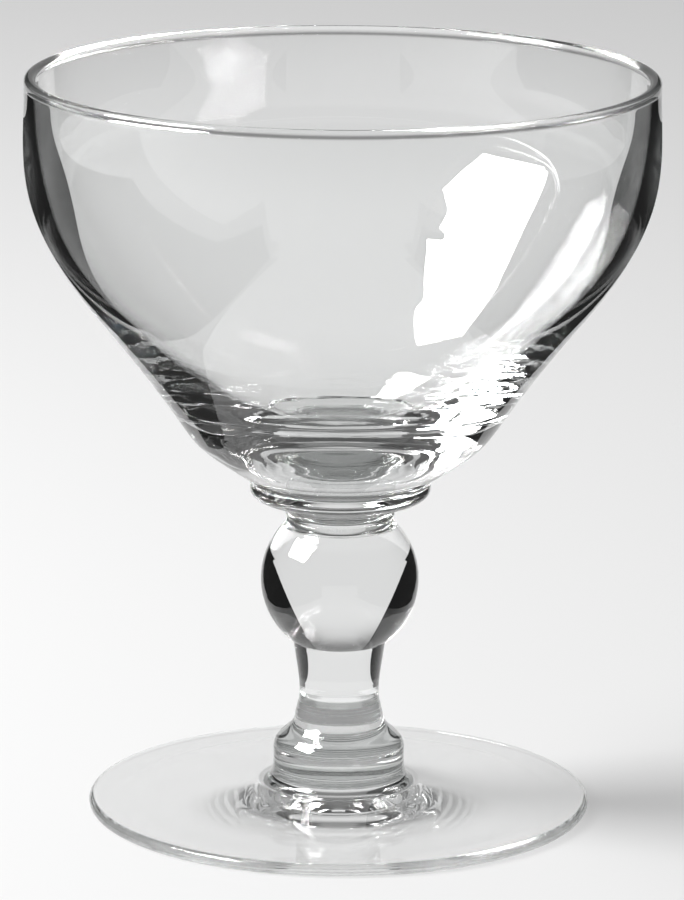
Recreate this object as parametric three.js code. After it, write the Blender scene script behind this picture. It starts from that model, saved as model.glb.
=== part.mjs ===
// Stemmed sherbet glass: a blown bowl on a collar, a ball knop and a cushion knop over a round foot.
// Each gather of glass is one solid, and the solids meet face to face where the hot glass was joined.
// Millimetres, +Z up, origin at the centre of the surface that the glass stands on.
import * as THREE from 'three';

// Foot: a thin disc with a round edge, hollowed underneath so that it rests on a flat ring. Its top is nearly
// level at the edge and bends up to the cushion; the bend is placed as shares of the top's width and rise.
const FOOT_DIAMETER = 76.4;
const FOOT_EDGE_THICKNESS = 1.8;
const FOOT_RISE = 2.2;
const FOOT_BEND_WIDTH_SHARE = 0.4;
const FOOT_BEND_RISE_SHARE = 0.12;
const FOOT_REST_WIDTH = 4;
const FOOT_HOLLOW_DEPTH = 1;

// Cushion knop: spreads onto the foot, stands upright, then shoulders in to the shank
const CUSHION_BASE_DIAMETER = 24.4;
const CUSHION_DIAMETER = 20;
const CUSHION_SPREAD_HEIGHT = 2.8;
const CUSHION_SIDE_HEIGHT = 2.4;
const CUSHION_SHOULDER_HEIGHT = 5.2;
const CUSHION_SHOULDER_ROUND = 2.4;

// Stem shank: a waisted length of solid glass
const SHANK_BASE_DIAMETER = 13.4;
const SHANK_WAIST_DIAMETER = 12.1;
const SHANK_LOWER_LENGTH = 3.6;
const SHANK_UPPER_LENGTH = 7.9;

// Ball knop: a solid ball cut by a flat seat at each end, given as angles from its axis
const BALL_DIAMETER = 24;
const BALL_LOWER_SEAT_ANGLE = 35.7;
const BALL_UPPER_SEAT_ANGLE = 45.8;

// Neck ring: a short spool with turned beads
const NECK_DIAMETER = 16.1;
const NECK_HEIGHT = 2.6;
const NECK_BEAD_COUNT = 2;
const NECK_BEAD_BULGE = 0.2;

// Collar: the disc that the bowl is seated on; its underside sweeps from the neck's line to the upright edge
const COLLAR_DIAMETER = 27.4;
const COLLAR_NECK_DIAMETER = 17.1;
const COLLAR_NECK_LEAN = 0.42;
const COLLAR_NECK_REACH = 1.4;
const COLLAR_EDGE_REACH = 2.4;
const COLLAR_UNDERSIDE_HEIGHT = 3.4;
const COLLAR_SIDE_HEIGHT = 0.6;
const COLLAR_TOP_ROUND = 0.4;

// Bowl: the outer face runs from the collar to the flare and from there to the rim. A lean is the run per rise
// at a point, and a reach is the height over which the curve holds to that lean.
const BOWL_BASE_LEAN = 1.47;
const BOWL_BASE_REACH = 9.75;
const FLARE_RISE = 26.45;
const FLARE_DIAMETER = 74.4;
const FLARE_LEAN = 0.817;
const FLARE_REACH_DOWN = 23.9;
const FLARE_REACH_UP = 15.7;
const RIM_RISE = 35.55;
const RIM_DIAMETER = 95;
const RIM_REACH = 12.1;

// Bowl: the inner face, from the beaded lip past the flare to the middle of the base
const LIP_WIDTH = 1.8;
const LIP_CROWN = 0.7;
const LIP_DEPTH = 0.9;
const RIM_WALL = 1.4;
const INNER_RIM_REACH = 10;
const FLARE_WALL = 2.4;
const INNER_FLARE_LEAN = 0.885;
const INNER_REACH_UP = 13.2;
const INNER_REACH_DOWN = 15;
const BASE_WALL = 7.15;
const BOTTOM_BREADTH = 16;

// Fineness of the facets
const ROUND_SEGMENTS = 40;
const CURVE_STEPS = 5;
const BOWL_CURVE_STEPS = 9;

// Heights of the joint faces, stacked upwards from the table
const ballRadius = BALL_DIAMETER / 2;
const lowerSeatAngle = THREE.MathUtils.degToRad(BALL_LOWER_SEAT_ANGLE);
const upperSeatAngle = THREE.MathUtils.degToRad(BALL_UPPER_SEAT_ANGLE);
const footTop = FOOT_EDGE_THICKNESS + FOOT_RISE;
const cushionTop = footTop + CUSHION_SPREAD_HEIGHT + CUSHION_SIDE_HEIGHT + CUSHION_SHOULDER_HEIGHT;
const shankTop = cushionTop + SHANK_LOWER_LENGTH + SHANK_UPPER_LENGTH;
const ballMiddle = shankTop + ballRadius * Math.cos(lowerSeatAngle);
const ballTop = ballMiddle + ballRadius * Math.cos(upperSeatAngle);
const neckTop = ballTop + NECK_HEIGHT;
const collarTop = neckTop + COLLAR_UNDERSIDE_HEIGHT + COLLAR_SIDE_HEIGHT + COLLAR_TOP_ROUND;

// Radii that two neighbouring solids share at their joint
const cushionSeat = CUSHION_BASE_DIAMETER / 2;
const shankSeat = SHANK_BASE_DIAMETER / 2;
const ballLowerSeat = ballRadius * Math.sin(lowerSeatAngle);
const bowlSeat = COLLAR_DIAMETER / 2 - COLLAR_TOP_ROUND;

// Carries an outline to a new radius and height; each end has a lean and the reach over which the curve keeps it
function sweep(outline, radius, height, leanFrom, reachFrom, leanTo, reachTo) {
  const from = outline.currentPoint.clone();
  const side = Math.sign(height - from.y);
  outline.bezierCurveTo(
    from.x + side * leanFrom * reachFrom, from.y + side * reachFrom,
    radius - side * leanTo * reachTo, height - side * reachTo,
    radius, height,
  );
}

// Turns an outline, drawn upwards and closed to the axis by flat faces, into a named solid of clear glass
function turned(name, outline, steps = CURVE_STEPS) {
  const points = outline.getPoints(steps);
  const [first, last] = [points[0], points.at(-1)];
  if (first.x > 0) {
    points.unshift(new THREE.Vector2(0, first.y));
  }
  if (last.x > 0) {
    points.push(new THREE.Vector2(0, last.y));
  }
  const geometry = new THREE.LatheGeometry(points, ROUND_SEGMENTS);
  geometry.rotateX(Math.PI / 2);
  const glass = new THREE.MeshStandardMaterial({
    name: `${name}_glass`,
    color: 0xf3f6f6,
    roughness: 0.03,
    metalness: 0,
    transparent: true,
    opacity: 0.35,
  });
  const solid = new THREE.Mesh(geometry, glass);
  solid.name = name;
  return solid;
}

function footSolid() {
  const edgeRound = FOOT_EDGE_THICKNESS / 2;
  const edgeCentre = FOOT_DIAMETER / 2 - edgeRound;
  const restInner = edgeCentre - FOOT_REST_WIDTH;
  const outline = new THREE.Path();
  outline.moveTo(0, FOOT_HOLLOW_DEPTH);
  outline.quadraticCurveTo(restInner / 2, FOOT_HOLLOW_DEPTH, restInner, 0);
  outline.absarc(edgeCentre, edgeRound, edgeRound, -Math.PI / 2, Math.PI / 2);
  outline.quadraticCurveTo(
    cushionSeat + FOOT_BEND_WIDTH_SHARE * (edgeCentre - cushionSeat),
    FOOT_EDGE_THICKNESS + FOOT_BEND_RISE_SHARE * FOOT_RISE,
    cushionSeat, footTop,
  );
  return turned('foot', outline);
}

function cushionSolid() {
  const radius = CUSHION_DIAMETER / 2;
  const spreadTop = footTop + CUSHION_SPREAD_HEIGHT;
  const sideTop = spreadTop + CUSHION_SIDE_HEIGHT;
  const outline = new THREE.Path();
  outline.moveTo(cushionSeat, footTop);
  outline.quadraticCurveTo(radius, footTop, radius, spreadTop);
  outline.lineTo(radius, sideTop);
  outline.bezierCurveTo(
    radius, sideTop + CUSHION_SHOULDER_ROUND,
    shankSeat, cushionTop - CUSHION_SHOULDER_ROUND,
    shankSeat, cushionTop,
  );
  return turned('cushion_knop', outline);
}

function shankSolid() {
  const waist = SHANK_WAIST_DIAMETER / 2;
  const lowerReach = SHANK_LOWER_LENGTH / 3;
  const upperReach = SHANK_UPPER_LENGTH / 3;
  const lowerLean = (waist - shankSeat) / SHANK_LOWER_LENGTH;
  const upperLean = (ballLowerSeat - waist) / SHANK_UPPER_LENGTH;
  const outline = new THREE.Path();
  outline.moveTo(shankSeat, cushionTop);
  sweep(outline, waist, cushionTop + SHANK_LOWER_LENGTH, lowerLean, lowerReach, 0, lowerReach);
  sweep(outline, ballLowerSeat, shankTop, 0, upperReach, upperLean, upperReach);
  return turned('stem_shank', outline);
}

function ballSolid() {
  const outline = new THREE.Path();
  outline.absarc(0, ballMiddle, ballRadius, lowerSeatAngle - Math.PI / 2, Math.PI / 2 - upperSeatAngle);
  return turned('ball_knop', outline);
}

function neckSolid() {
  const radius = NECK_DIAMETER / 2;
  const beadHeight = NECK_HEIGHT / NECK_BEAD_COUNT;
  const outline = new THREE.Path();
  outline.moveTo(radius, ballTop);
  for (let bead = 0; bead < NECK_BEAD_COUNT; bead += 1) {
    const middle = ballTop + (bead + 0.5) * beadHeight;
    outline.quadraticCurveTo(radius + 2 * NECK_BEAD_BULGE, middle, radius, middle + beadHeight / 2);
  }
  return turned('neck_ring', outline);
}

function collarSolid() {
  const radius = COLLAR_DIAMETER / 2;
  const neckSeat = COLLAR_NECK_DIAMETER / 2;
  const undersideTop = neckTop + COLLAR_UNDERSIDE_HEIGHT;
  const outline = new THREE.Path();
  outline.moveTo(neckSeat, neckTop);
  outline.bezierCurveTo(
    neckSeat + COLLAR_NECK_LEAN * COLLAR_NECK_REACH, neckTop + COLLAR_NECK_REACH,
    radius, undersideTop - COLLAR_EDGE_REACH,
    radius, undersideTop,
  );
  outline.absarc(bowlSeat, undersideTop + COLLAR_SIDE_HEIGHT, COLLAR_TOP_ROUND, 0, Math.PI / 2);
  return turned('collar', outline);
}

function bowlSolid() {
  const flareRadius = FLARE_DIAMETER / 2;
  const flareHeight = collarTop + FLARE_RISE;
  const rimRadius = RIM_DIAMETER / 2;
  const lipHeight = flareHeight + RIM_RISE - LIP_CROWN;
  const wallRun = FLARE_WALL / Math.hypot(1, FLARE_LEAN);
  const innerFlareRadius = flareRadius - wallRun;
  const innerFlareHeight = flareHeight + wallRun * FLARE_LEAN;
  const bottom = collarTop + BASE_WALL;

  const outline = new THREE.Path();
  outline.moveTo(bowlSeat, collarTop);
  sweep(outline, flareRadius, flareHeight, BOWL_BASE_LEAN, BOWL_BASE_REACH, FLARE_LEAN, FLARE_REACH_DOWN);
  sweep(outline, rimRadius, lipHeight, FLARE_LEAN, FLARE_REACH_UP, 0, RIM_REACH);
  outline.absellipse(rimRadius - LIP_WIDTH / 2, lipHeight, LIP_WIDTH / 2, LIP_CROWN, 0, Math.PI);
  sweep(outline, rimRadius - RIM_WALL, lipHeight - LIP_DEPTH, 0, LIP_DEPTH / 2, 0, LIP_DEPTH / 2);
  sweep(
    outline, innerFlareRadius, innerFlareHeight,
    0, INNER_RIM_REACH, INNER_FLARE_LEAN, INNER_REACH_UP,
  );
  outline.bezierCurveTo(
    innerFlareRadius - INNER_FLARE_LEAN * INNER_REACH_DOWN, innerFlareHeight - INNER_REACH_DOWN,
    BOTTOM_BREADTH, bottom,
    0, bottom,
  );
  return turned('bowl', outline, BOWL_CURVE_STEPS);
}

const sherbetGlass = new THREE.Group();
sherbetGlass.name = 'sherbet_glass';
sherbetGlass.add(
  footSolid(),
  cushionSolid(),
  shankSolid(),
  ballSolid(),
  neckSolid(),
  collarSolid(),
  bowlSolid(),
);

export default sherbetGlass;
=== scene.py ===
import math

import bpy
import numpy as np
from mathutils import Matrix, Vector


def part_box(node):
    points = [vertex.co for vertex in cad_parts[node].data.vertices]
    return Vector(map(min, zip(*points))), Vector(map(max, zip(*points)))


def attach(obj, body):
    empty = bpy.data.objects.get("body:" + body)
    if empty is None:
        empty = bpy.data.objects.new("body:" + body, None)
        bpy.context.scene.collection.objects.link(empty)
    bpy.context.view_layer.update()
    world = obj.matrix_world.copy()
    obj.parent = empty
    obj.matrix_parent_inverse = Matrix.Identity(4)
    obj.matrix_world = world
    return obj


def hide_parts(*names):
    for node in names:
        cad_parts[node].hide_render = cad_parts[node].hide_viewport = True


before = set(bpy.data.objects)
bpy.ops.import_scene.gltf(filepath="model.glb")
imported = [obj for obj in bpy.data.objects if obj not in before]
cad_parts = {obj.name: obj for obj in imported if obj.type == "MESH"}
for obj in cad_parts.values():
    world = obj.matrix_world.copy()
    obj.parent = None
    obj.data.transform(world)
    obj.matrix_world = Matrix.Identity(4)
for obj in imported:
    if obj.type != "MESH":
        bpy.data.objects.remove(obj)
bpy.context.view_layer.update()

# Fineness of the turned pieces
ROUND_SEGMENTS = 256
CURVE_STEPS = 28
CREASE_ANGLE = math.radians(32)
SAME_PLACE = 1e-7

# Joint planes, bottom to top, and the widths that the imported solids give
foot_base, foot_top = (corner.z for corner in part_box("foot"))
cushion_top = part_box("cushion_knop")[1].z
shank_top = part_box("stem_shank")[1].z
ball_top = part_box("ball_knop")[1].z
neck_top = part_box("neck_ring")[1].z
collar_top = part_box("collar")[1].z
rim_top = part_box("bowl")[1].z
foot_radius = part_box("foot")[1].x
cushion_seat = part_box("cushion_knop")[1].x
shank_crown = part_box("stem_shank")[1].x
collar_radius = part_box("collar")[1].x

# Foot: the bend of its top is placed as shares of the top's width and rise
FOOT_EDGE = 0.0018
FOOT_REST_WIDTH = 0.004
FOOT_HOLLOW = 0.001
FOOT_BEND_WIDTH_SHARE = 0.4
FOOT_BEND_RISE_SHARE = 0.12

# Cushion knop
CUSHION_RADIUS = 0.010
CUSHION_SPREAD = 0.0028
CUSHION_SIDE = 0.0024
CUSHION_SHOULDER = 0.0024

# Stem shank, with fine rings that the tool left at its lower end
SHANK_SEAT = 0.0067
SHANK_WAIST = 0.00605
SHANK_LOWER = 0.0036
SHANK_RINGS = 3
SHANK_RING_PITCH = 0.00107
SHANK_RING_DEPTH = 0.00003
SHANK_RING_WIDTH = 0.0002

# Ball knop
BALL_RADIUS = 0.012

# Neck ring
NECK_RADIUS = 0.00805
NECK_BEADS = 2
NECK_BULGE = 0.0002

# Collar
COLLAR_NECK = 0.00855
COLLAR_LEAN = 0.42
COLLAR_NECK_REACH = 0.0014
COLLAR_EDGE_REACH = 0.0024
COLLAR_UNDERSIDE = 0.0034
COLLAR_ROUND = 0.0004
collar_seat = collar_radius - COLLAR_ROUND

# Bowl: a lean is the run per rise at a point, and a reach is the height over which the curve keeps to it
BASE_LEAN = 1.47
BASE_REACH = 0.00975
FLARE_RISE = 0.02645
FLARE_RADIUS = 0.0372
FLARE_LEAN = 0.817
FLARE_REACH_DOWN = 0.0239
FLARE_REACH_UP = 0.0157
RIM_RADIUS = 0.0475
RIM_REACH = 0.0121
LIP_WIDTH = 0.0018
LIP_CROWN = 0.0007
LIP_DEPTH = 0.0009
RIM_WALL = 0.0014
INNER_RIM_REACH = 0.010
FLARE_WALL = 0.0024
INNER_FLARE_LEAN = 0.885
INNER_REACH_UP = 0.0132
INNER_REACH_DOWN = 0.015
BASE_WALL = 0.00715
BOTTOM_BREADTH = 0.016

# Tool ripples on the outer face of the bowl, fading out from one height above the collar to another
RIPPLE_DEPTH = 0.000014
RIPPLE_PITCH = 0.0011
RIPPLE_LENGTH = 0.014
RIPPLE_DETAIL = 2.0
RIPPLE_FULL_RISE = 0.018
RIPPLE_END_RISE = 0.032


# Curves
def bezier(start, leave, arrive, end, steps=CURVE_STEPS):
    """Points of a cubic curve after its start."""
    t = np.linspace(0, 1, steps + 1)[1:, None]
    shares = ((1 - t) ** 3, 3 * t * (1 - t) ** 2, 3 * t ** 2 * (1 - t), t ** 3)
    return list(sum(share * np.array(point) for share, point in zip(shares, (start, leave, arrive, end))))


def bow(start, control, end, steps=CURVE_STEPS):
    """Points of a quadratic curve after its start."""
    start, control, end = np.array(start), np.array(control), np.array(end)
    return bezier(start, start + (control - start) * 2 / 3, end + (control - end) * 2 / 3, end, steps)


def sweep(start, end, lean_from, reach_from, lean_to, reach_to, steps=CURVE_STEPS):
    """Points of a curve up or down the glass; each end has a lean and a reach over which it is kept."""
    side = math.copysign(1, end[1] - start[1])
    leave = (start[0] + side * lean_from * reach_from, start[1] + side * reach_from)
    arrive = (end[0] - side * lean_to * reach_to, end[1] - side * reach_to)
    return bezier(start, leave, arrive, end, steps)


def arc(centre, radius, height, start_angle, end_angle, steps=CURVE_STEPS):
    """Points of an arc of an upright ellipse, its start among them."""
    angles = np.linspace(start_angle, end_angle, steps + 1)
    return list(np.array(centre) + np.stack((radius * np.cos(angles), height * np.sin(angles)), axis=1))


def grooved(points, heights, depth, width):
    """The outline with a shallow groove pressed in at each height."""
    return [
        np.array((r - depth * sum(math.exp(-((z - height) / width) ** 2) for height in heights), z))
        for r, z in points
    ]


# Outlines
def foot_outline():
    edge_round = FOOT_EDGE / 2
    edge_centre = foot_radius - edge_round
    rest_inner = edge_centre - FOOT_REST_WIDTH
    bend = cushion_seat + FOOT_BEND_WIDTH_SHARE * (edge_centre - cushion_seat)
    bend_height = FOOT_EDGE + FOOT_BEND_RISE_SHARE * (foot_top - FOOT_EDGE)
    points = [np.array((0, FOOT_HOLLOW))]
    points += bow(points[0], (rest_inner / 2, FOOT_HOLLOW), (rest_inner, foot_base))
    points += arc((edge_centre, edge_round), edge_round, edge_round, -math.pi / 2, math.pi / 2)
    points += bow(points[-1], (bend, bend_height), (cushion_seat, foot_top), 2 * CURVE_STEPS)
    return points


def cushion_outline():
    spread_top = foot_top + CUSHION_SPREAD
    side_top = spread_top + CUSHION_SIDE
    points = [np.array((cushion_seat, foot_top))]
    points += bow(points[0], (CUSHION_RADIUS, foot_top), (CUSHION_RADIUS, spread_top))
    points += bezier(
        (CUSHION_RADIUS, side_top),
        (CUSHION_RADIUS, side_top + CUSHION_SHOULDER),
        (SHANK_SEAT, cushion_top - CUSHION_SHOULDER),
        (SHANK_SEAT, cushion_top),
    )
    return points


def shank_outline():
    waist_height = cushion_top + SHANK_LOWER
    upper = shank_top - waist_height
    lower_lean = (SHANK_WAIST - SHANK_SEAT) / SHANK_LOWER
    upper_lean = (shank_crown - SHANK_WAIST) / upper
    waist = (SHANK_WAIST, waist_height)
    points = [np.array((SHANK_SEAT, cushion_top))]
    points += sweep(points[0], waist, lower_lean, SHANK_LOWER / 3, 0, SHANK_LOWER / 3, 2 * CURVE_STEPS)
    points += sweep(waist, (shank_crown, shank_top), 0, upper / 3, upper_lean, upper / 3)
    rings = [cushion_top + (i + 1) * SHANK_RING_PITCH for i in range(SHANK_RINGS)]
    return points[:1] + grooved(points[1:-1], rings, SHANK_RING_DEPTH, SHANK_RING_WIDTH) + points[-1:]


def ball_outline():
    middle = shank_top + math.sqrt(BALL_RADIUS ** 2 - shank_crown ** 2)
    lower = math.asin((shank_top - middle) / BALL_RADIUS)
    upper = math.asin((ball_top - middle) / BALL_RADIUS)
    return arc((0, middle), BALL_RADIUS, BALL_RADIUS, lower, upper, 2 * CURVE_STEPS)


def neck_outline():
    bead = (neck_top - ball_top) / NECK_BEADS
    points = [np.array((NECK_RADIUS, ball_top))]
    for i in range(NECK_BEADS):
        middle = ball_top + (i + 0.5) * bead
        points += bow(points[-1], (NECK_RADIUS + 2 * NECK_BULGE, middle), (NECK_RADIUS, middle + bead / 2))
    return points


def collar_outline():
    underside_top = neck_top + COLLAR_UNDERSIDE
    points = [np.array((COLLAR_NECK, neck_top))]
    points += bezier(
        points[0],
        (COLLAR_NECK + COLLAR_LEAN * COLLAR_NECK_REACH, neck_top + COLLAR_NECK_REACH),
        (collar_radius, underside_top - COLLAR_EDGE_REACH),
        (collar_radius, underside_top),
    )
    points += arc((collar_seat, collar_top - COLLAR_ROUND), COLLAR_ROUND, COLLAR_ROUND, 0, math.pi / 2)
    return points


def bowl_outline():
    flare = (FLARE_RADIUS, collar_top + FLARE_RISE)
    lip_height = rim_top - LIP_CROWN
    lip_middle = (RIM_RADIUS - LIP_WIDTH / 2, lip_height)
    below_lip = (RIM_RADIUS - RIM_WALL, lip_height - LIP_DEPTH)
    wall_run = FLARE_WALL / math.hypot(1, FLARE_LEAN)
    inner_flare = (FLARE_RADIUS - wall_run, flare[1] + wall_run * FLARE_LEAN)
    inner_leave = (inner_flare[0] - INNER_FLARE_LEAN * INNER_REACH_DOWN, inner_flare[1] - INNER_REACH_DOWN)
    bottom = collar_top + BASE_WALL
    steps = 2 * CURVE_STEPS
    points = [np.array((collar_seat, collar_top))]
    points += sweep(points[0], flare, BASE_LEAN, BASE_REACH, FLARE_LEAN, FLARE_REACH_DOWN, steps)
    points += sweep(flare, (RIM_RADIUS, lip_height), FLARE_LEAN, FLARE_REACH_UP, 0, RIM_REACH, steps)
    points += arc(lip_middle, LIP_WIDTH / 2, LIP_CROWN, 0, math.pi)[1:]
    points += sweep(points[-1], below_lip, 0, LIP_DEPTH / 2, 0, LIP_DEPTH / 2)
    points += sweep(below_lip, inner_flare, 0, INNER_RIM_REACH, INNER_FLARE_LEAN, INNER_REACH_UP, steps)
    points += bezier(inner_flare, inner_leave, (BOTTOM_BREADTH, bottom), (0, bottom), steps)
    return points


# Meshes
def closed(outline, lower, upper):
    """The outline run in to the axis at each end that has a fused disc of the given radius."""
    outline = [tuple(point) for point in outline]
    if lower:
        height = outline[0][1]
        rest = outline[1:] if abs(outline[0][0] - lower) < SAME_PLACE else outline
        outline = [(0, height), (lower, height)] + rest
    if upper:
        height = outline[-1][1]
        rest = outline[:-1] if abs(outline[-1][0] - upper) < SAME_PLACE else outline
        outline = rest + [(upper, height), (0, height)]
    return outline


def mark_faces(mesh, mark, values):
    mesh.attributes.new(mark, "FLOAT", "FACE").data.foreach_set("value", values)


def turned(name, outline, lower, upper, material, tooled=()):
    """A closed mesh of revolution. lower and upper are the radii of its fused discs, 0 for none;
    tooled are the bands of its outline that keep tool ripples."""
    rings = []
    vertices = []
    for radius, height in closed(outline, lower, upper):
        count = ROUND_SEGMENTS if radius > SAME_PLACE else 1
        rings.append(range(len(vertices), len(vertices) + count))
        for i in range(count):
            angle = 2 * math.pi * i / ROUND_SEGMENTS
            vertices.append((radius * math.cos(angle), radius * math.sin(angle), height))
    faces = []
    fused = []
    rippled = []
    for index, (below, above) in enumerate(zip(rings, rings[1:])):
        joint = (lower and index == 0) or (upper and index == len(rings) - 2)
        fused += [1.0 if joint else 0.0] * ROUND_SEGMENTS
        rippled += [1.0 if index in tooled else 0.0] * ROUND_SEGMENTS
        for i in range(ROUND_SEGMENTS):
            j = (i + 1) % ROUND_SEGMENTS
            lower_edge = (below[i % len(below)], below[j % len(below)])
            upper_edge = (above[j % len(above)], above[i % len(above)])
            faces.append(tuple(dict.fromkeys(lower_edge + upper_edge)))
    mesh = bpy.data.meshes.new(name)
    mesh.from_pydata(vertices, [], faces)
    mesh.polygons.foreach_set("use_smooth", [True] * len(faces))
    mesh.materials.append(material)
    mark_faces(mesh, "fused", fused)
    mark_faces(mesh, "rippled", rippled)
    mesh.set_sharp_from_angle(angle=CREASE_ANGLE)
    piece = bpy.data.objects.new(name + "_glass", mesh)
    bpy.context.scene.collection.objects.link(piece)
    piece.visible_diffuse = False
    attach(piece, "root")
    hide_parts(name)


# Materials
GLASS_TINT = (0.985, 0.99, 0.988, 1)
GLASS_IOR = 1.51
SOLID_GLASS_PASS = 0.15
THIN_GLASS_PASS = 0.84
BODY_COLOUR = (0.15, 0.2, 0.18, 1)
BODY_DENSITY = 2.0


def new_material(name):
    material = bpy.data.materials.new(name)
    material.use_nodes = True
    return material, material.node_tree.nodes, material.node_tree.links


def face_mark(nodes, mark):
    node = nodes.new("ShaderNodeAttribute")
    node.attribute_name = mark
    return node.outputs["Fac"]


def mixed(nodes, links, share, first, second):
    mix = nodes.new("ShaderNodeMixShader")
    links.new(share, mix.inputs["Fac"])
    links.new(first, mix.inputs[1])
    links.new(second, mix.inputs[2])
    return mix.outputs["Shader"]


def times(nodes, links, first, second):
    product = nodes.new("ShaderNodeMath")
    product.operation = "MULTIPLY"
    links.new(first, product.inputs[0])
    links.new(second, product.inputs[1])
    return product.outputs["Value"]


def height_fade(nodes, links, place, span, strengths):
    """A value that eases from one strength to another over a span of heights at the given place."""
    height = nodes.new("ShaderNodeSeparateXYZ")
    links.new(place, height.inputs["Vector"])
    fade = nodes.new("ShaderNodeMapRange")
    fade.interpolation_type = "SMOOTHSTEP"
    fade.inputs["From Min"].default_value, fade.inputs["From Max"].default_value = span
    fade.inputs["To Min"].default_value, fade.inputs["To Max"].default_value = strengths
    links.new(height.outputs["Z"], fade.inputs["Value"])
    return fade.outputs["Result"]


def clear_glass(name, shadow_pass):
    """Clear glass. It flows on through a fused joint, so that disc neither bends nor reflects light.
    shadow_pass is the share of a lamp's light that each face lets straight on to the floor."""
    material, nodes, links = new_material(name)
    shader = nodes["Principled BSDF"]
    shader.inputs["Base Color"].default_value = GLASS_TINT
    shader.inputs["Roughness"].default_value = 0.0
    shader.inputs["IOR"].default_value = GLASS_IOR
    shader.inputs["Transmission Weight"].default_value = 1.0
    inside = nodes.new("ShaderNodeBsdfTransparent")
    face = mixed(nodes, links, face_mark(nodes, "fused"), shader.outputs["BSDF"], inside.outputs["BSDF"])
    shade = nodes.new("ShaderNodeBsdfTransparent")
    shade.inputs["Color"].default_value = (shadow_pass, shadow_pass, shadow_pass, 1)
    path = nodes.new("ShaderNodeLightPath")
    face = mixed(nodes, links, path.outputs["Is Shadow Ray"], face, shade.outputs["BSDF"])
    links.new(face, nodes["Material Output"].inputs["Surface"])
    body = nodes.new("ShaderNodeVolumeAbsorption")
    body.inputs["Color"].default_value = BODY_COLOUR
    body.inputs["Density"].default_value = BODY_DENSITY
    links.new(body.outputs["Volume"], nodes["Material Output"].inputs["Volume"])
    return material


def tooled_glass():
    """Clear glass with the long shallow ripples that a shaping tool leaves on the lower bowl."""
    material = clear_glass("tooled_glass", THIN_GLASS_PASS)
    nodes, links = material.node_tree.nodes, material.node_tree.links
    place = nodes.new("ShaderNodeTexCoord").outputs["Object"]
    stretch = nodes.new("ShaderNodeMapping")
    stretch.inputs["Scale"].default_value = (1 / RIPPLE_LENGTH, 1 / RIPPLE_LENGTH, 1 / RIPPLE_PITCH)
    links.new(place, stretch.inputs["Vector"])
    streaks = nodes.new("ShaderNodeTexNoise")
    streaks.inputs["Scale"].default_value = 1.0
    streaks.inputs["Detail"].default_value = RIPPLE_DETAIL
    links.new(stretch.outputs["Vector"], streaks.inputs["Vector"])
    span = (collar_top + RIPPLE_FULL_RISE, collar_top + RIPPLE_END_RISE)
    fade = height_fade(nodes, links, place, span, (1.0, 0.0))
    faded = times(nodes, links, streaks.outputs["Fac"], fade)
    kept = times(nodes, links, faded, face_mark(nodes, "rippled"))
    ripples = nodes.new("ShaderNodeBump")
    ripples.inputs["Distance"].default_value = RIPPLE_DEPTH
    links.new(kept, ripples.inputs["Height"])
    links.new(ripples.outputs["Normal"], nodes["Principled BSDF"].inputs["Normal"])
    return material


def plain(name, brightness):
    material, nodes, _ = new_material(name)
    shader = nodes["Principled BSDF"]
    shader.inputs["Base Color"].default_value = (brightness, brightness, brightness, 1)
    shader.inputs["Roughness"].default_value = 1.0
    shader.inputs["Specular IOR Level"].default_value = 0.0
    return material


def glow(name, strength):
    material, nodes, links = new_material(name)
    nodes.remove(nodes["Principled BSDF"])
    shine = nodes.new("ShaderNodeEmission")
    shine.inputs["Color"].default_value = (1, 1, 1, 1)
    shine.inputs["Strength"].default_value = strength
    links.new(shine.outputs["Emission"], nodes["Material Output"].inputs["Surface"])
    return material


def fading_glow(name, span, strengths):
    """A glow that fades with height."""
    material = glow(name, strengths[0])
    nodes, links = material.node_tree.nodes, material.node_tree.links
    place = nodes.new("ShaderNodeTexCoord").outputs["Object"]
    strength = height_fade(nodes, links, place, span, strengths)
    links.new(strength, nodes["Emission"].inputs["Strength"])
    return material


# Glass
glass = clear_glass("clear_glass", SOLID_GLASS_PASS)
thin_glass = clear_glass("thin_glass", THIN_GLASS_PASS)
turned("foot", foot_outline(), 0, cushion_seat, thin_glass)
turned("cushion_knop", cushion_outline(), cushion_seat, SHANK_SEAT, glass)
turned("stem_shank", shank_outline(), SHANK_SEAT, shank_crown, glass)
turned("ball_knop", ball_outline(), shank_crown, NECK_RADIUS, glass)
turned("neck_ring", neck_outline(), NECK_RADIUS, NECK_RADIUS, glass)
turned("collar", collar_outline(), NECK_RADIUS, collar_seat, glass)

# The bowl's outer face is the two long sweeps that follow its fused disc
outer_face = range(1, 4 * CURVE_STEPS + 1)
turned("bowl", bowl_outline(), collar_seat, 0, tooled_glass(), outer_face)

# Studio: everything stands in a frame turned with the camera, x to its right and y away from it
STUDIO_TURN = math.radians(45)
studio = Matrix.Rotation(STUDIO_TURN, 4, "Z")

# Camera
CAMERA_DISTANCE = 0.8669
CAMERA_PITCH = math.radians(13.332)
CAMERA_ROLL = math.radians(0.362)
AIM = Vector((0.000213, 0, 0.055605))
FOCAL_PIXELS = 5732.5
IMAGE_HEIGHT = 900
SENSOR_MILLIMETRES = 36

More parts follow.
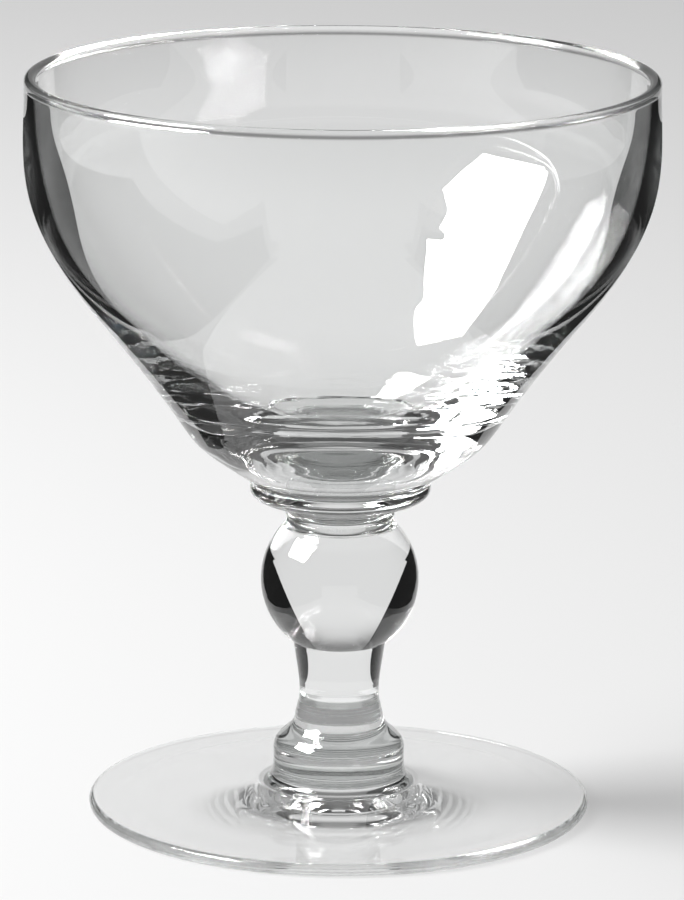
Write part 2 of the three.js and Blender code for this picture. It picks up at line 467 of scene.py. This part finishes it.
# Stage: near-black glowing cards, which show only in and through the glass as painted dark reflections,
# stand outside a strip of glowing paper that bends up behind the glass
FLOOR_BRIGHTNESS = 0.86
FLOOR_REACH = 6.0
FLOOR_DROP = 0.00003
PAPER_HALF = 0.069
PAPER_FRONT_HALF = 0.058
BEND_START = 0.05
BEND_RADIUS = 0.12
BEND_STEPS = 12
PAPER_TOP = 0.5
# The paper's glow, eased to a darker top between two heights: painted shade
PAPER_GLOW = 0.8
PAPER_SHADED_TOP_GLOW = 0.25
PAPER_FADE_FROM = 0.05
PAPER_FADE_TO = 0.16
CARD_GLOW = 0.012
CARD_FOOT = 0.001
CARD_FRONT = -0.15
TABLE_REACH = 0.65
TABLE_BACK = 0.6
FENCE_TOP = 0.055
DIM_GLOW = 0.1
DIM_PLACE = 0.3
DIM_INNER = 0.134
DIM_OUTER = 0.6
DIM_FOOT = 0.1
DIM_TOP = 0.45
bend_end = BEND_START + BEND_RADIUS

# Window: the bowl sees it at a heading from the view and a height; its corners lie on a plane facing it
WINDOW_HEADING = math.radians(-98)
WINDOW_HEIGHT = math.radians(40)
WINDOW_DISTANCE = 1.0
WINDOW_GLOW = 45.0
WINDOW_CORNERS = (
    (-0.345, -0.27),
    (0.225, -0.355),
    (0.40, 0.10),
    (0.485, 0.14),
    (0.295, 0.235),
    (0.15, 0.345),
    (-0.10, 0.40),
    (0.02, 0.29),
    (-0.085, 0.325),
    (-0.16, 0.212),
    (-0.32, 0.18),
    (-0.36, -0.04),
)
BOWL_MIDDLE = Vector((0, 0, 0.085))

# Lights
KEY_DIRECTION = Vector((-0.76, -0.02, 0.65)).normalized()
KEY_DISTANCE = 1.0
KEY_SIZE = (0.5, 0.35)
KEY_POWER = 9.0
PAPER_LIGHT = 0.5
HORIZON_LIGHT = 0.75
ROOM_LIGHT = 0.03
HORIZON_TOP = 0.0
ROOM_BOTTOM = math.sin(math.radians(4))

# Light runs a long way inside the lip and the edge of the foot
LIGHT_BOUNCES = 128

# The rays that see a stage piece
ALL_RAYS = ("camera", "diffuse", "glossy", "transmission", "shadow")
GLASS_RAYS = ("glossy", "transmission")


def make_camera():
    data = bpy.data.cameras.new("camera")
    data.sensor_width = SENSOR_MILLIMETRES
    data.lens = FOCAL_PIXELS * SENSOR_MILLIMETRES / IMAGE_HEIGHT
    camera = bpy.data.objects.new("camera", data)
    bpy.context.scene.collection.objects.link(camera)
    aim = Matrix.Translation(AIM) @ Matrix.Rotation(math.pi / 2 - CAMERA_PITCH, 4, "X")
    back = Matrix.Rotation(CAMERA_ROLL, 4, "Z") @ Matrix.Translation((0, 0, CAMERA_DISTANCE))
    camera.matrix_world = studio @ aim @ back
    bpy.context.scene.camera = camera


def stage_mesh(name, corners, faces, material, seen_by):
    """A stage piece from corners in the studio frame; most show only in and through the glass."""
    mesh = bpy.data.meshes.new(name)
    mesh.from_pydata([studio @ Vector(corner) for corner in corners], [], faces)
    mesh.materials.append(material)
    piece = bpy.data.objects.new(name, mesh)
    bpy.context.scene.collection.objects.link(piece)
    for ray in ALL_RAYS:
        setattr(piece, f"visible_{ray}", ray in seen_by)


def stage_face(name, corners, material, seen_by=GLASS_RAYS):
    stage_mesh(name, corners, [tuple(range(len(corners)))], material, seen_by)


def make_floor():
    corners = ((-1, -1), (1, -1), (1, 1), (-1, 1))
    spread = [(x * FLOOR_REACH, y * FLOOR_REACH, -FLOOR_DROP) for x, y in corners]
    stage_face("floor", spread, plain("pale_paper", FLOOR_BRIGHTNESS), ALL_RAYS)


def paper_bend(turn):
    """Points (y, z) along the paper's bend, from flat through the given turn."""
    level = -math.pi / 2
    return arc((BEND_START, BEND_RADIUS), BEND_RADIUS, BEND_RADIUS, level, level + turn, BEND_STEPS)


def make_cards():
    """Glowing cards seen only in and through the glass: near-black ones left and right of the paper,
    painted dark reflections which draw the glass's edges, and dim ones for a painted dim room above them.
    """
    # Painted reflections: the cards glow near black and dim in place of a dark table and a dim room.
    black = glow("dark_reflection_glow", CARD_GLOW)
    dim = glow("dim_room_reflection_glow", DIM_GLOW)
    table = (
        (PAPER_FRONT_HALF, CARD_FRONT),
        (TABLE_REACH, CARD_FRONT),
        (TABLE_REACH, TABLE_BACK),
        (PAPER_HALF, TABLE_BACK),
    )
    bend = paper_bend(math.acos(1 - FENCE_TOP / BEND_RADIUS))
    fence = [(CARD_FRONT, 0), *bend, (CARD_FRONT, FENCE_TOP)]
    upper = ((DIM_INNER, DIM_FOOT), (DIM_OUTER, DIM_FOOT), (DIM_OUTER, DIM_TOP), (DIM_INNER, DIM_TOP))
    for side, word in ((-1, "left"), (1, "right")):
        stage_face(f"table_card_{word}", [(side * x, y, CARD_FOOT) for x, y in table], black)
        stage_face(f"fence_card_{word}", [(side * PAPER_HALF, y, z) for y, z in fence], black)
        stage_face(f"dim_room_reflection_glow_{word}", [(side * x, DIM_PLACE, z) for x, z in upper], dim)


def make_paper():
    """The strip of white paper that the glass shows behind it: a glow seen only in and through the glass, a
    painted reflection, with painted shade on its upper part.
    """
    profile = [*paper_bend(math.pi / 2), (bend_end, PAPER_TOP)]
    corners = [(side * PAPER_HALF, y, z) for y, z in profile for side in (-1, 1)]
    faces = [(2 * i, 2 * i + 1, 2 * i + 3, 2 * i + 2) for i in range(len(profile) - 1)]
    # Painted shade: the paper's glow eases to a darker top between two heights.
    shade = fading_glow("paper_glow_painted_shade", (PAPER_FADE_FROM, PAPER_FADE_TO), (PAPER_GLOW, PAPER_SHADED_TOP_GLOW))
    stage_mesh("paper_glow_painted_shade", corners, faces, shade, GLASS_RAYS)


def make_window():
    """The bright window at the upper left, which the glass mirrors: a glow seen only in and through the
    glass, painting its highlights, that does not light the floor.
    """
    ahead = Vector((math.sin(WINDOW_HEADING), math.cos(WINDOW_HEADING), 0))
    right = Vector((math.cos(WINDOW_HEADING), -math.sin(WINDOW_HEADING), 0))
    towards = ahead * math.cos(WINDOW_HEIGHT) + Vector((0, 0, math.sin(WINDOW_HEIGHT)))
    up = right.cross(towards)
    corners = [BOWL_MIDDLE + WINDOW_DISTANCE * (towards + u * right + v * up) for u, v in WINDOW_CORNERS]
    stage_face("window", corners, glow("window_light", WINDOW_GLOW))


def make_key():
    """Soft light from the window's side for the paper and the shadow on it."""
    data = bpy.data.lights.new("key", "AREA")
    data.shape = "RECTANGLE"
    data.size, data.size_y = KEY_SIZE
    data.energy = KEY_POWER
    lamp = bpy.data.objects.new("key", data)
    bpy.context.scene.collection.objects.link(lamp)
    for ray in GLASS_RAYS:
        setattr(lamp, f"visible_{ray}", False)
    turn = KEY_DIRECTION.to_track_quat("Z", "Y").to_matrix().to_4x4()
    lamp.matrix_world = studio @ Matrix.Translation(KEY_DIRECTION * KEY_DISTANCE) @ turn


def make_world():
    """Even light for the paper; the glass and the camera see a pale horizon under a dark upper room."""
    world = bpy.data.worlds.new("studio")
    bpy.context.scene.world = world
    world.use_nodes = True
    nodes, links = world.node_tree.nodes, world.node_tree.links
    direction = nodes.new("ShaderNodeTexCoord").outputs["Generated"]
    strength = height_fade(nodes, links, direction, (HORIZON_TOP, ROOM_BOTTOM), (HORIZON_LIGHT, ROOM_LIGHT))
    path = nodes.new("ShaderNodeLightPath")
    seen = nodes.new("ShaderNodeMix")
    seen.inputs["B"].default_value = PAPER_LIGHT
    links.new(path.outputs["Is Diffuse Ray"], seen.inputs["Factor"])
    links.new(strength, seen.inputs["A"])
    back = nodes["Background"]
    back.inputs["Color"].default_value = (1, 1, 1, 1)
    links.new(seen.outputs["Result"], back.inputs["Strength"])


make_camera()
make_floor()
make_cards()
make_paper()
make_window()
make_key()
make_world()

# Picture
scene = bpy.context.scene
scene.view_settings.view_transform = "Standard"
scene.cycles.max_bounces = LIGHT_BOUNCES
scene.cycles.transmission_bounces = LIGHT_BOUNCES
scene.cycles.glossy_bounces = LIGHT_BOUNCES
scene.cycles.transparent_max_bounces = LIGHT_BOUNCES
scene.cycles.sample_clamp_indirect = 0
scene.cycles.use_denoising = True
